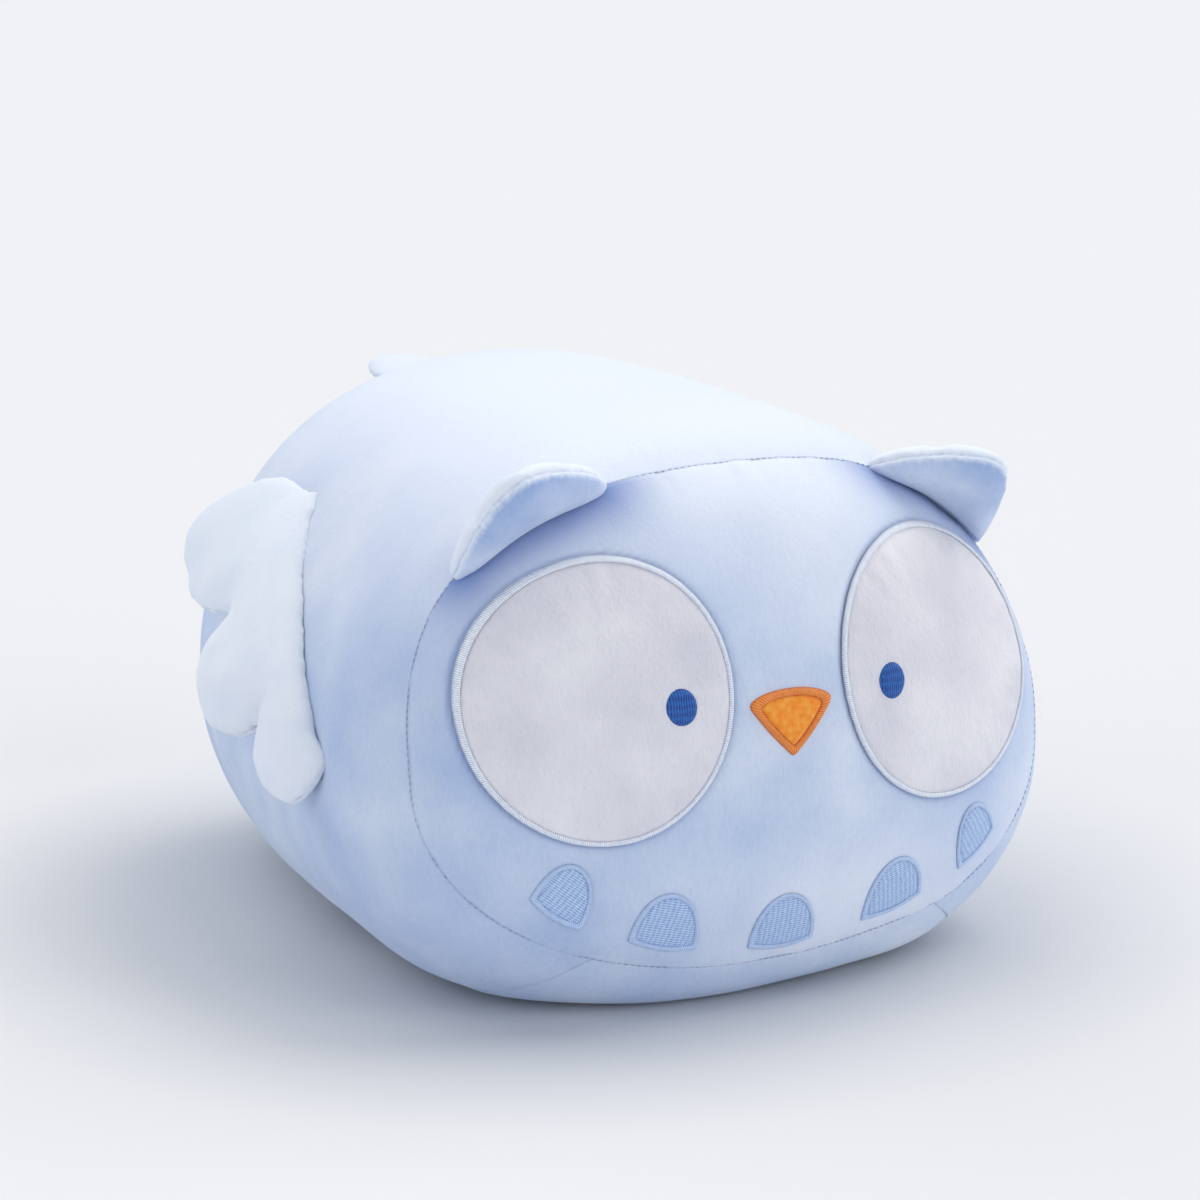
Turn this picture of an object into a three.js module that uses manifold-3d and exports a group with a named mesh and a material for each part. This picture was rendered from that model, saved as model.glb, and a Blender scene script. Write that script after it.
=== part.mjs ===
// Plush owl, in millimetres. +Z is up, the face looks along -Y and the origin is on the
// floor under the middle of the body. Left and right are the owl's own.
import * as THREE from 'three';
import { mergeVertices } from 'three/addons/utils/BufferGeometryUtils.js';
import Module from 'manifold-3d';

const wasm = await Module();
wasm.setup();

// The body is a stuffed loaf. Its cross-sections are rounded ovals about the waist level,
// widest at the waist plane, and shrink to a point at the nose and at the rump.
const bodyHalfWidth = 150;
const crownHeight = 144;
const keelDepth = 102.5;
const waistLevel = 80.5;
const noseReach = 134.5;
const rumpReach = 238;
const sagRadius = 12;
const restCut = 0.5;
const flareShare = 0.071;
const riseShare = 0.031;
const roundnessShares = { crown: 2.08, keel: 2.14, nose: 3.77, shoulder: 2.22, rump: 3.29, seam: 2.29 };

// The skin is short-pile plush over loose filling, and neighbours keep a small clearance.
const plushThickness = 2;
const layerGap = 0.3;
const seamGap = 0.4;

// The face seam is a rounded oval seen from the front, and the rear seam is a plane ring.
const seamHalfWidth = 138.5;
const seamTop = 109.2;
const seamBottom = 80.1;
const seamLevel = 98.3;
const rearSeamShare = 0.8;
const baseCornerDegrees = -47;

// Face trims: heights stand proud of the face, widths are measured across the stitching.
const patchThickness = 1.4;
const borderThickness = 1.9;
const fillThickness = 1;
const eyeBorderWidth = 3.6;
const beakBorderWidth = 3.4;
const featherBorderWidth = 2.1;
const beakHalfWidth = 17.7;
const beakHeight = 26.3;
const beakTipLevel = 101.5;
const eyeBeakGap = 4.4;
const eyeSeamMargin = 15.8;
const pupilHalfWidth = 6;
const pupilHalfHeight = 6.8;
const featherHalfWidth = 14.6;
const featherHeight = 22;
const eyeTiltDegrees = 30.6;
const eyeStretchShare = 0.042;
const eyeWidthShare = 1.02;
const eyeLiftShare = 0.274;
const pupilPlaceShares = [-0.53, -0.06];
const beakCornerShares = { level: 0.77, round: 0.06, bow: 0.05 };
const featherPlaceShares = [
  { across: 0.67, below: 0.619, width: 0.82, height: 0.92, tilt: 0.411 },
  { across: 0.366, below: 0.828, width: 1, height: 1, tilt: 0.167 },
  { across: 0, below: 0.909, width: 1, height: 1, tilt: 0 },
];
const featherSagShare = 0.1;
const featherRoundnessShare = 0.9;

// Flaps: wings, ears and tail. Each is two plush panels and a little filling, sewn into a
// seam of the body along its root. Reach is measured from the root to the farthest edge.
const wingReach = 79;
const wingPlumpness = 4.2;
const earReach = 37.5;
const earPlumpness = 8;
const tailReach = 48;
const tailPlumpness = 3.4;
const rootGap = 0.35;
const wingLiftDegrees = 16;
const wingSwingDegrees = 70;
const earLeanDegrees = 52.8;
const earSwingDegrees = 65;
const tailDroopDegrees = 2;
const tailSwingDegrees = 50;
const wingRootDegrees = [5, 42.4];
const wingRootShares = { low: 0.312, high: 0.281 };
const earRootDegrees = [66.3, 40.2];
const tailRootDegrees = [79, 101];
const axisOffsetShare = 0.6;
const flapRoundnessShare = 0.6;

// Edge outlines run round the free edge, as shares of the root length and of the reach.
const wingEdgeShares = [
  [1.194, 0.373], [1.235, 0.595], [1.24, 0.785], [1.21, 0.93], [1.145, 1], [1.04, 0.968],
  [0.91, 0.823], [0.703, 0.504], [0.66, 0.658], [0.575, 0.719], [0.47, 0.696], [0.36, 0.62],
  [0.285, 0.494], [0.25, 0.36], [0.23, 0.26], [0.185, 0.35], [0.12, 0.414], [0.04, 0.38],
  [-0.03, 0.275],
];
const earEdgeShares = [
  [0.05, 0.36], [0.13, 0.62], [0.24, 0.83], [0.4, 0.95], [0.56, 1], [0.72, 0.87],
  [0.85, 0.62], [0.95, 0.33],
];
const tailEdgeShares = [
  [0.02, 0.3], [0.08, 0.6], [0.22, 0.86], [0.4, 0.98], [0.6, 0.98], [0.78, 0.86],
  [0.92, 0.6], [0.98, 0.3],
];

// Facet counts, the crowding of the rings towards the seams, and the solver's passes.
const crownSteps = 26;
const baseSteps = 8;
const faceRingSteps = 7;
const wrapRingSteps = 8;
const rumpRingSteps = 5;
const flapSteps = 4;
const eyeSteps = 36;
const eyeRingSteps = 6;
const pupilSteps = 16;
const fillRingSteps = 2;
const beakSideSteps = 4;
const beakTopSteps = 8;
const beakRingSteps = 3;
const featherArchSteps = 10;
const featherBaseSteps = 5;
const reliefSteps = 6;
const faceCrowdingShare = 0.85;
const wrapCrowdingShare = 1.25;
const solverSteps = 40;

const waistY = (noseReach - rumpReach) / 2;
const radians = THREE.MathUtils.degToRad;
const lerp = THREE.MathUtils.lerp;
const signedPower = (value, power) => Math.sign(value) * Math.abs(value) ** power;

// Body surface

// Share of the full section left at a station, from -1 at the nose to 1 at the rump.
function swell(station) {
  const { nose, shoulder, rump } = roundnessShares;
  const bulge = station < 0 ? nose : rump;
  return (1 - Math.abs(station) ** bulge) ** (1 / (station < 0 ? shoulder : rump));
}

function stationOf(size, side) {
  const { nose, shoulder, rump } = roundnessShares;
  return side * (1 - size ** (side < 0 ? shoulder : rump)) ** (1 / (side < 0 ? nose : rump));
}

// The underside sinks flat where it rests, with a soft turn into the sides.
function settled(height, inset) {
  const free = height - inset;
  const soft = (free + sagRadius) ** 2 / (sagRadius * 4);
  const raised = free > sagRadius ? free : free < -sagRadius ? 0 : soft;
  return inset + Math.max(0, raised - restCut);
}

// A point of the body at a section angle and a station, set in by a depth under the surface.
function onBody(angle, station, inset = 0) {
  const y = station * ((station < 0 ? noseReach : rumpReach) - inset);
  const upper = Math.sin(angle) > 0;
  const power = 2 / (upper ? roundnessShares.crown : roundnessShares.keel);
  const halfWidth = (bodyHalfWidth - inset - flareShare * y) * swell(station);
  const height = ((upper ? crownHeight + riseShare * y : keelDepth) - inset) * swell(station);
  const z = waistLevel + height * signedPower(Math.sin(angle), power);
  return new THREE.Vector3(halfWidth * signedPower(Math.cos(angle), power), y + waistY, settled(z, inset));
}

// The direction straight out of the surface.
function outwardAt(angle, station) {
  const probe = 1e-3;
  const around = onBody(angle + probe, station).sub(onBody(angle - probe, station));
  const onward = onBody(angle, station + probe).sub(onBody(angle, station - probe));
  return onward.cross(around).normalize();
}

// The face surface over a place seen from the front, raised by a height over the plush.
function onFace(place, raise = 0) {
  const level = place.y + restCut - waistLevel;
  let y = -noseReach;
  for (let pass = 0; pass < solverSteps; pass += 1) {
    const upper = level > 0;
    const halfWidth = bodyHalfWidth + raise - flareShare * y;
    const height = (upper ? crownHeight + riseShare * y : keelDepth) + raise;
    const power = upper ? roundnessShares.crown : roundnessShares.keel;
    const size = (Math.abs(place.x / halfWidth) ** power + Math.abs(level / height) ** power) ** (1 / power);
    y = (noseReach + raise) * stationOf(Math.min(size, 1), -1);
  }
  return new THREE.Vector3(place.x, y + waistY, place.y);
}

// The station where a section angle meets the face seam.
function seamStation(angle) {
  let [front, back] = [-1, 0];
  for (let pass = 0; pass < solverSteps; pass += 1) {
    const middle = (front + back) / 2;
    const point = onBody(angle, middle);
    const height = point.z < seamLevel ? seamBottom : seamTop;
    const across = Math.abs(point.x / seamHalfWidth) ** roundnessShares.seam;
    const upward = Math.abs((point.z - seamLevel) / height) ** roundnessShares.seam;
    if (across + upward < 1) front = middle;
    else back = middle;
  }
  return (front + back) / 2;
}

// Solids from grids of points

function facetsOf(grid, wraps = false) {
  const columns = grid[0].length;
  const spans = wraps ? columns : columns - 1;
  return grid.slice(1).flatMap((next, i) => Array.from({ length: spans }, (_, j) => {
    const k = (j + 1) % columns;
    return [[grid[i][j], next[j], next[k]], [grid[i][j], next[k], grid[i][k]]];
  }).flat());
}

const flipped = (facets) => facets.map(([a, b, c]) => [a, c, b]);

function geometryOf(facets) {
  const solid = facets.filter(([a, b, c]) => !a.equals(b) && !b.equals(c) && !c.equals(a));
  const volume = solid.reduce((sum, [a, b, c]) => sum + a.dot(b.clone().cross(c)), 0);
  const outward = volume < 0 ? flipped(solid) : solid;
  return mergeVertices(new THREE.BufferGeometry().setFromPoints(outward.flat()));
}

// A sheet with a thickness: its two faces and the rim between them.
function sheet(outer, inner, wraps = false) {
  const column = (grid, j) => grid.map((row) => row.at(j));
  const facets = [
    facetsOf(outer, wraps), flipped(facetsOf(inner, wraps)),
    facetsOf([inner[0], outer[0]], wraps), facetsOf([outer.at(-1), inner.at(-1)], wraps),
  ];
  if (!wraps) {
    facets.push(facetsOf([column(outer, 0), column(inner, 0)]));
    facets.push(facetsOf([column(inner, -1), column(outer, -1)]));
  }
  return geometryOf(facets.flat());
}

function mirrored(geometry) {
  const copy = geometry.clone().scale(-1, 1, 1);
  const index = Array.from(copy.index.array);
  for (let i = 0; i < index.length; i += 3) [index[i], index[i + 1]] = [index[i + 1], index[i]];
  copy.setIndex(index);
  return copy;
}

function manifoldOf(geometry) {
  const vertProperties = Float32Array.from(geometry.attributes.position.array);
  const triVerts = Uint32Array.from(geometry.index.array);
  return new wasm.Manifold(new wasm.Mesh({ numProp: 3, vertProperties, triVerts }));
}

function cutBy(geometry, tool) {
  const { vertProperties, triVerts } = manifoldOf(geometry).subtract(tool).getMesh();
  const cut = new THREE.BufferGeometry();
  cut.setAttribute('position', new THREE.BufferAttribute(Float32Array.from(vertProperties), 3));
  cut.setIndex(Array.from(triVerts));
  return cut;
}

// Finishes, by the slot names that the pieces share.

const finish = (color, roughness) => ({ color, roughness, metalness: 0 });
const finishes = {
  paleBlue: finish(0xc6d2e6, 0.95),
  faceBlue: finish(0xbed0e6, 0.95),
  white: finish(0xe2e4ea, 0.95),
  pupilBlue: finish(0x1f4f96, 0.6),
  orange: finish(0xf1872f, 0.9),
  darkOrange: finish(0xd9701f, 0.6),
  threadWhite: finish(0xeff1f6, 0.6),
  threadBlue: finish(0x9ab4d9, 0.6),
  filling: finish(0xf4f4f2, 1),
};

const owl = new THREE.Group();

function place(name, geometry, material) {
  const mesh = new THREE.Mesh(geometry, new THREE.MeshStandardMaterial(finishes[material]));
  mesh.name = name;
  owl.add(mesh);
}

// Body: filling and four skin panels that share its rings and section angles.

const share = (steps) => Array.from({ length: steps + 1 }, (_, i) => i / steps);
const baseCorner = radians(baseCornerDegrees);
const crownAngles = share(crownSteps).map((t) => lerp(baseCorner, Math.PI - baseCorner, t));
const baseAngles = share(baseSteps).map((t) => lerp(Math.PI - baseCorner, 2 * Math.PI + baseCorner, t));
const allAngles = [...crownAngles, ...baseAngles.slice(1, -1)];
const rearStation = rearSeamShare;
const edgeShift = seamGap / 2 / noseReach;

const faceRing = (angle, t, shift) => (
  stationOf(swell(seamStation(angle) - shift) * t ** faceCrowdingShare, -1));
const wrapRing = (angle, t, shift) => (
  lerp(seamStation(angle) + shift, rearStation - shift, t ** wrapCrowdingShare));
const rumpRing = (angle, t, shift) => stationOf(swell(rearStation + shift) * (1 - t), 1);

function panelGrid(angles, steps, ring, shift, inset) {
  return share(steps).map((t) => angles.map((angle) => onBody(angle, ring(angle, t, shift), inset)));
}

function panel(angles, steps, ring, wraps = false) {
  const outer = panelGrid(angles, steps, ring, edgeShift, 0);
  return sheet(outer, panelGrid(angles, steps, ring, edgeShift, plushThickness), wraps);
}

function wholeBody(inset) {
  const rings = [
    ...panelGrid(allAngles, faceRingSteps, faceRing, 0, inset),
    ...panelGrid(allAngles, wrapRingSteps, wrapRing, 0, inset).slice(1, -1),
    ...panelGrid(allAngles, rumpRingSteps, rumpRing, 0, inset),
  ];
  return geometryOf(facetsOf(rings, true));
}

const cornerShift = seamGap / keelDepth / 2;
const narrowed = (angles) => [angles[0] + cornerShift, ...angles.slice(1, -1), angles.at(-1) - cornerShift];

place('body_stuffing', wholeBody(plushThickness + layerGap), 'filling');
place('face_panel', panel(allAngles, faceRingSteps, faceRing, true), 'faceBlue');
place('body_panel', panel(narrowed(crownAngles), wrapRingSteps, wrapRing), 'paleBlue');
place('base_panel', panel(narrowed(baseAngles), wrapRingSteps, wrapRing), 'paleBlue');
place('rear_panel', panel(allAngles, rumpRingSteps, rumpRing, true), 'paleBlue');

// Face trims lie on the face panel: patches with a raised stitched border round each.

// A trim's outline is round about its centre, and its radius is how far its sides lie from
// there. Each smaller ring is the outline drawn in towards the centre.
const ringOf = ({ points, centre }, size) => points.map((point) => centre.clone().lerp(point, size));

function trim(rings, low, high) {
  const grid = (raise) => rings.map((ring) => ring.map((point) => onFace(point, raise)));
  return sheet(grid(high), grid(low), true);
}

function disc(outline, inset, rings, low, high) {
  const edge = 1 - inset / outline.radius;
  return trim(share(rings).map((t) => ringOf(outline, edge * t)), low, high);
}

function band(outline, width, low, high) {
  return trim([ringOf(outline, 1 - width / outline.radius), outline.points], low, high);
}

const origin = new THREE.Vector2();
const moved = ({ points, centre, radius }, tilt, shift) => ({
  points: points.map((point) => point.clone().rotateAround(origin, tilt).add(shift)),
  centre: centre.clone().rotateAround(origin, tilt).add(shift),
  radius,
});
const flippedPoint = (point) => new THREE.Vector2(-point.x, point.y);
const mirroredOutline = ({ points, centre, radius }) => ({
  points: points.map(flippedPoint).reverse(), centre: flippedPoint(centre), radius,
});

function oval(halfWidth, halfHeight, steps) {
  const points = share(steps).slice(1).map((t) => new THREE.Vector2(
    halfWidth * Math.cos(2 * Math.PI * t), halfHeight * Math.sin(2 * Math.PI * t)));
  return { points, centre: origin, radius: halfWidth };
}

const patchTop = layerGap + patchThickness;
const borderTop = layerGap + borderThickness;
const pupilFoot = patchTop + layerGap;

const eyeInner = beakHalfWidth + eyeBeakGap;
const eyeOuter = seamHalfWidth - eyeSeamMargin;
const eyeRadius = (eyeOuter - eyeInner) / 2 * eyeWidthShare;
const eyeCentre = new THREE.Vector2((eyeOuter + eyeInner) / 2, seamLevel + eyeLiftShare * seamTop);
const eyeOval = oval(eyeRadius * (1 - eyeStretchShare), eyeRadius * (1 + eyeStretchShare), eyeSteps);
const eyeOutline = moved(eyeOval, radians(eyeTiltDegrees), eyeCentre);
const pupilCentre = eyeCentre.clone().add(new THREE.Vector2(...pupilPlaceShares).multiplyScalar(eyeRadius));
const pupilOutline = moved(oval(pupilHalfWidth, pupilHalfHeight, pupilSteps), 0, pupilCentre);

for (const [side, turned] of [['left', (outline) => outline], ['right', mirroredOutline]]) {
  const edge = turned(eyeOutline);
  const eyeInset = eyeBorderWidth + layerGap;
  place(`eye_patch_${side}`, disc(edge, eyeInset, eyeRingSteps, layerGap, patchTop), 'white');
  place(`eye_border_${side}`, band(edge, eyeBorderWidth, layerGap, borderTop), 'threadWhite');
  const pupilTop = pupilFoot + fillThickness;
  place(`pupil_${side}`, disc(turned(pupilOutline), 0, fillRingSteps, pupilFoot, pupilTop), 'pupilBlue');
}

// The beak is a fan: a point at the bottom, two straight sides and an arched top.
function beakOutline() {
  const { level, round, bow } = beakCornerShares;
  const cornerLevel = beakTipLevel + beakHeight * level;
  const side = (t) => new THREE.Vector2(
    beakHalfWidth * (lerp(round, 1 - round, t) + bow * Math.sin(Math.PI * t)),
    lerp(beakTipLevel + beakHeight * round, cornerLevel - beakHeight * round, t));
  const arch = (turn) => new THREE.Vector2(
    beakHalfWidth * Math.cos(turn), cornerLevel + beakHeight * (1 - level) * Math.sin(turn));
  const right = share(beakSideSteps).map(side);
  const top = share(beakTopSteps).map((t) => arch(Math.PI * lerp(round, 1 - round, t)));
  const points = [new THREE.Vector2(0, beakTipLevel), ...right, ...top, ...right.map(flippedPoint).reverse()];
  const tipSlant = beakHalfWidth / Math.hypot(beakHalfWidth, beakHeight * level);
  const radius = beakHeight * tipSlant / (1 + tipSlant);
  return { points, centre: new THREE.Vector2(0, beakTipLevel + beakHeight - radius), radius };
}

const beakEdge = beakOutline();
const beakInset = beakBorderWidth + layerGap;
place('beak_patch', disc(beakEdge, beakInset, beakRingSteps, layerGap, patchTop), 'orange');
place('beak_border', band(beakEdge, beakBorderWidth, layerGap, borderTop), 'darkOrange');

// Feather marks are arches on a slightly bowed base, in a row across the lower face.
function featherOutline({ across, below, width, height, tilt }) {
  const foot = new THREE.Vector2(across * seamHalfWidth, seamLevel - below * seamBottom);
  const halfWidth = featherHalfWidth * width;
  const rise = featherHeight * height;
  const arch = share(featherArchSteps).map((t) => new THREE.Vector2(
    halfWidth * Math.cos(Math.PI * t), rise * Math.sin(Math.PI * t) ** featherRoundnessShare));
  const base = share(featherBaseSteps).slice(1, -1).map((t) => new THREE.Vector2(
    lerp(-halfWidth, halfWidth, t), -rise * featherSagShare * Math.sin(Math.PI * t)));
  const shape = { points: [...arch, ...base], centre: new THREE.Vector2(0, rise / 2), radius: rise / 2 };
  return moved(shape, tilt * Math.PI / 2, foot);
}

const leftFeathers = featherPlaceShares.map(featherOutline);
const feathers = [...leftFeathers.slice(0, -1).map(mirroredOutline), ...leftFeathers.toReversed()];
const featherInset = featherBorderWidth + layerGap;
const featherTop = layerGap + fillThickness;
feathers.forEach((edge, i) => {
  const mark = disc(edge, featherInset, fillRingSteps, layerGap, featherTop);
  place(`feather_mark_${i + 1}`, mark, 'threadBlue');
  place(`feather_border_${i + 1}`, band(edge, featherBorderWidth, layerGap, patchTop), 'threadBlue');
});

// Flaps

// A flap hinges on a straight line beside its curved root. It is cut clear of the body
// over its whole swing.
function hingeOf(root, swing) {
  const [start, end, middle] = [root(0), root(1), root(0.5)];
  const axis = start.clone().sub(end).normalize();
  const pivot = start.clone().lerp(end, 0.5).lerp(middle, axisOffsetShare);
  return { axis, pivot, swing };
}

function reliefOf({ axis, pivot, swing }) {
  const body = wholeBody(-rootGap);
  const turned = share(reliefSteps).map((t) => {
    const turn = new THREE.Matrix4().makeRotationAxis(axis, -swing * t);
    const copy = body.clone().translate(-pivot.x, -pivot.y, -pivot.z).applyMatrix4(turn);
    return manifoldOf(copy.translate(pivot.x, pivot.y, pivot.z));
  });
  return turned.reduce((sum, next) => sum.add(next));
}

// Points over a flap's middle surface: rows follow the edge and run from the root to it.
function flapGrid({ root, across, reach, edgeShares }, rise) {
  const chord = root(1).sub(root(0));
  const normal = across.clone().cross(chord).normalize();
  const rows = edgeShares.length - 1;
  const firstFoot = Math.round(edgeShares[0][0]);
  return edgeShares.map(([alongEdge, out], i) => share(flapSteps).map((v) => {
    const foot = lerp(firstFoot, 1 - firstFoot, i / rows);
    const along = lerp(foot, alongEdge, v);
    const held = THREE.MathUtils.clamp(along, 0, 1);
    const point = root(held).addScaledVector(chord, along - held);
    return point.addScaledVector(across, out * reach * v).addScaledVector(normal, rise(i / rows, v));
  }));
}

const dome = (t) => (4 * t * (1 - t)) ** flapRoundnessShare;

function flapPieces(flap) {
  const puff = (u, v) => flap.plumpness * dome(u) * dome(v);
  const relief = reliefOf(flap.hinge);
  const half = layerGap / 2;
  const cover = (side) => sheet(
    flapGrid(flap, (u, v) => side * (half + plushThickness + puff(u, v))),
    flapGrid(flap, (u, v) => side * (half + puff(u, v))));
  const inside = (grid) => grid.slice(1, -1).map((row) => row.slice(1, -1));
  const filling = sheet(
    inside(flapGrid(flap, (u, v) => puff(u, v) - half)),
    inside(flapGrid(flap, (u, v) => half - puff(u, v))));
  return [cover(1), cover(-1), filling].map((piece) => cutBy(piece, relief));
}

const onSeam = (degrees) => onBody(radians(degrees), seamStation(radians(degrees)));

const backwards = new THREE.Vector3(0, 1, 0);
const upwards = new THREE.Vector3(0, 0, 1);

// Left wing: sewn into a slanted side seam, lying back beside the body. It leaves the
// surface at its lift angle.
const wingAngle = (t) => radians(lerp(wingRootDegrees[0], wingRootDegrees[1], t));
function wingStation(t) {
  const y = lerp(-wingRootShares.low * noseReach, wingRootShares.high * rumpReach, t);
  return y / (y < 0 ? noseReach : rumpReach);
}
const wingRoot = (t) => onBody(wingAngle(t), wingStation(t));
const wingChord = wingRoot(1).sub(wingRoot(0)).normalize();
const wingOutward = outwardAt(wingAngle(0.5), wingStation(0.5)).projectOnPlane(wingChord).normalize();
const wingAcross = wingChord.clone().cross(wingOutward)
  .multiplyScalar(Math.cos(radians(wingLiftDegrees)))
  .addScaledVector(wingOutward, Math.sin(radians(wingLiftDegrees)));

// Left ear: sewn into the top corner of the face seam, leaning forward over the eye.
const earRoot = (t) => onSeam(lerp(earRootDegrees[0], earRootDegrees[1], t));
const earChord = earRoot(1).sub(earRoot(0)).normalize();
const earForward = backwards.clone().negate().projectOnPlane(earChord).normalize();
const earUpright = earChord.clone().cross(earForward).normalize();
if (earUpright.dot(upwards) < 0) earUpright.negate();
const earAcross = earUpright.multiplyScalar(Math.cos(radians(earLeanDegrees)))
  .addScaledVector(earForward, Math.sin(radians(earLeanDegrees)));

// Tail: sewn into the top of the rear seam, pointing back.
const tailRoot = (t) => onBody(radians(lerp(tailRootDegrees[0], tailRootDegrees[1], t)), rearStation);
const tailAcross = backwards.clone().multiplyScalar(Math.cos(radians(tailDroopDegrees)))
  .addScaledVector(upwards, -Math.sin(radians(tailDroopDegrees)));

const wing = {
  root: wingRoot, across: wingAcross, reach: wingReach, edgeShares: wingEdgeShares,
  plumpness: wingPlumpness, hinge: hingeOf(wingRoot, radians(wingSwingDegrees)),
};
const ear = {
  root: earRoot, across: earAcross, reach: earReach, edgeShares: earEdgeShares,
  plumpness: earPlumpness, hinge: hingeOf(earRoot, radians(earSwingDegrees)),
};
const tail = {
  root: tailRoot, across: tailAcross, reach: tailReach, edgeShares: tailEdgeShares,
  plumpness: tailPlumpness, hinge: hingeOf(tailRoot, radians(tailSwingDegrees)),
};

owl.userData.hinges = { wing: wing.hinge, ear: ear.hinge, tail: tail.hinge };

for (const [side, turned] of [['left', (piece) => piece], ['right', mirrored]]) {
  const [wingOuter, wingInner, wingFilling] = flapPieces(wing).map(turned);
  place(`wing_${side}_outer_panel`, wingOuter, 'white');
  place(`wing_${side}_inner_panel`, wingInner, 'white');
  place(`wing_${side}_stuffing`, wingFilling, 'filling');
  const [earBack, earFront, earFilling] = flapPieces(ear).map(turned);
  place(`ear_${side}_front_panel`, earFront, 'faceBlue');
  place(`ear_${side}_back_panel`, earBack, 'white');
  place(`ear_${side}_stuffing`, earFilling, 'filling');
}
const [tailUpper, tailUnder, tailFilling] = flapPieces(tail);
place('tail_upper_panel', tailUpper, 'white');
place('tail_under_panel', tailUnder, 'white');
place('tail_stuffing', tailFilling, 'filling');

export default owl;
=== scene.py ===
import math
from functools import lru_cache
import bpy
import bmesh
from mathutils import Matrix, Vector, noise


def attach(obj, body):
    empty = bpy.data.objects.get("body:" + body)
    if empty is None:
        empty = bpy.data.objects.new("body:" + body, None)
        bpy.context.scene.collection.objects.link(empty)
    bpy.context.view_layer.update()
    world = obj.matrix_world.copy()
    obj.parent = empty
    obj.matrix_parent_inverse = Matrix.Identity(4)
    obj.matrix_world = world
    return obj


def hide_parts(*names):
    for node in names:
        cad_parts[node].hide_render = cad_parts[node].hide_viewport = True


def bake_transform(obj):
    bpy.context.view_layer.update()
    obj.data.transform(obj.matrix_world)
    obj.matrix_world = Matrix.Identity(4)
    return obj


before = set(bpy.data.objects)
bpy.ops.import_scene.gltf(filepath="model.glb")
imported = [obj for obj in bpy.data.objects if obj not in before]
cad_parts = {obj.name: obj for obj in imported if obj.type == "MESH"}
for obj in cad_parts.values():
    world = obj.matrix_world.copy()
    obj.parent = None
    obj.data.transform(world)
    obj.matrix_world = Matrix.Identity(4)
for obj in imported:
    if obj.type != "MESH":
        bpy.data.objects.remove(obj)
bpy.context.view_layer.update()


# Filling of the body: loose polyester fibre, blown into the sewn skin through a gap that is
# closed by hand. It gives the loaf its shape: a rounded oval section about the waist level
# that closes to a soft nose and a rounder rump, and that sinks flat where it rests.

half_width = 0.1502
crown_height = 0.1441
keel_depth = 0.1025
waist_level = 0.0803
nose_reach = 0.1347
rump_reach = 0.2382
rest_cut = 0.0005
sag = 0.012
flare = 0.071
rise = 0.032
crown_round, keel_round = 2.08, 2.14
nose_round, shoulder_round, rump_round = 3.77, 2.22, 3.29
waist_y = (nose_reach - rump_reach) / 2
filling_inset = 0.0075


def swell(station):
    """Share of the full section left at a station, from -1 at the nose to 1 at the rump."""
    bulge = nose_round if station < 0 else rump_round
    root = shoulder_round if station < 0 else rump_round
    return max(0.0, 1 - abs(station) ** bulge) ** (1 / root)


def station_of(size, side):
    """The station on one side of the waist where the section has shrunk to a size."""
    bulge = nose_round if side < 0 else rump_round
    root = shoulder_round if side < 0 else rump_round
    return side * max(0.0, 1 - min(size, 1) ** root) ** (1 / bulge)


def signed_power(value, power):
    return math.copysign(abs(value) ** power, value)


def settled(height, inset):
    """Sinks the underside flat, with a soft turn into the sides."""
    free = height - inset
    if free > sag:
        raised = free
    elif free < -sag:
        raised = 0.0
    else:
        raised = (free + sag) ** 2 / (sag * 4)
    return inset + max(0.0, raised - rest_cut)


def bare_body(angle, station, inset=0.0):
    """A point of the loaf at a section angle and a station, set in under its skin."""
    y = station * ((nose_reach if station < 0 else rump_reach) - inset)
    upper = math.sin(angle) > 0
    power = 2 / (crown_round if upper else keel_round)
    size = swell(station)
    width = (half_width - inset - flare * y) * size
    height = ((crown_height + rise * y if upper else keel_depth) - inset) * size
    z = waist_level + height * signed_power(math.sin(angle), power)
    return Vector((width * signed_power(math.cos(angle), power), y + waist_y, settled(z, inset)))


def fullness(point):
    """Soft unevenness of the loose filling under the skin."""
    lumps = noise.noise(point * 31 + Vector((4, 7, 1)))
    return 0.0011 * noise.noise(point * 13) + 0.0005 * lumps


def body_point(angle, station, inset=0.0):
    point = bare_body(angle, station)
    point = bare_body(angle, station, inset - fullness(point))
    point.z = max(point.z, 0.0)
    return point


def finished(name, cloth, material, subdivisions=1, thickness=0.0):
    """Turns a bmesh into a smooth object at the origin, its faces outwards."""
    centre = sum((v.co for v in cloth.verts), Vector()) / len(cloth.verts)
    bmesh.ops.recalc_face_normals(cloth, faces=cloth.faces)
    outwards = (f.normal.dot(f.calc_center_median() - centre) * f.calc_area() for f in cloth.faces)
    if sum(outwards) < 0:
        bmesh.ops.reverse_faces(cloth, faces=cloth.faces)
    for face in cloth.faces:
        face.smooth = True
    mesh = bpy.data.meshes.new(name)
    cloth.to_mesh(mesh)
    cloth.free()
    piece = bpy.data.objects.new(name, mesh)
    bpy.context.collection.objects.link(piece)
    mesh.materials.append(material)
    if thickness:
        wall = piece.modifiers.new("thickness", "SOLIDIFY")
        wall.thickness, wall.offset = thickness, -1
    if subdivisions:
        smooth = piece.modifiers.new("smooth", "SUBSURF")
        smooth.levels = smooth.render_levels = subdivisions
    return piece


def dyed(red, green, blue):
    """A colour given as it shows, as the light that the shader works with."""
    return tuple(((c / 255 + 0.055) / 1.055) ** 2.4 for c in (red, green, blue)) + (1.0,)


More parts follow.
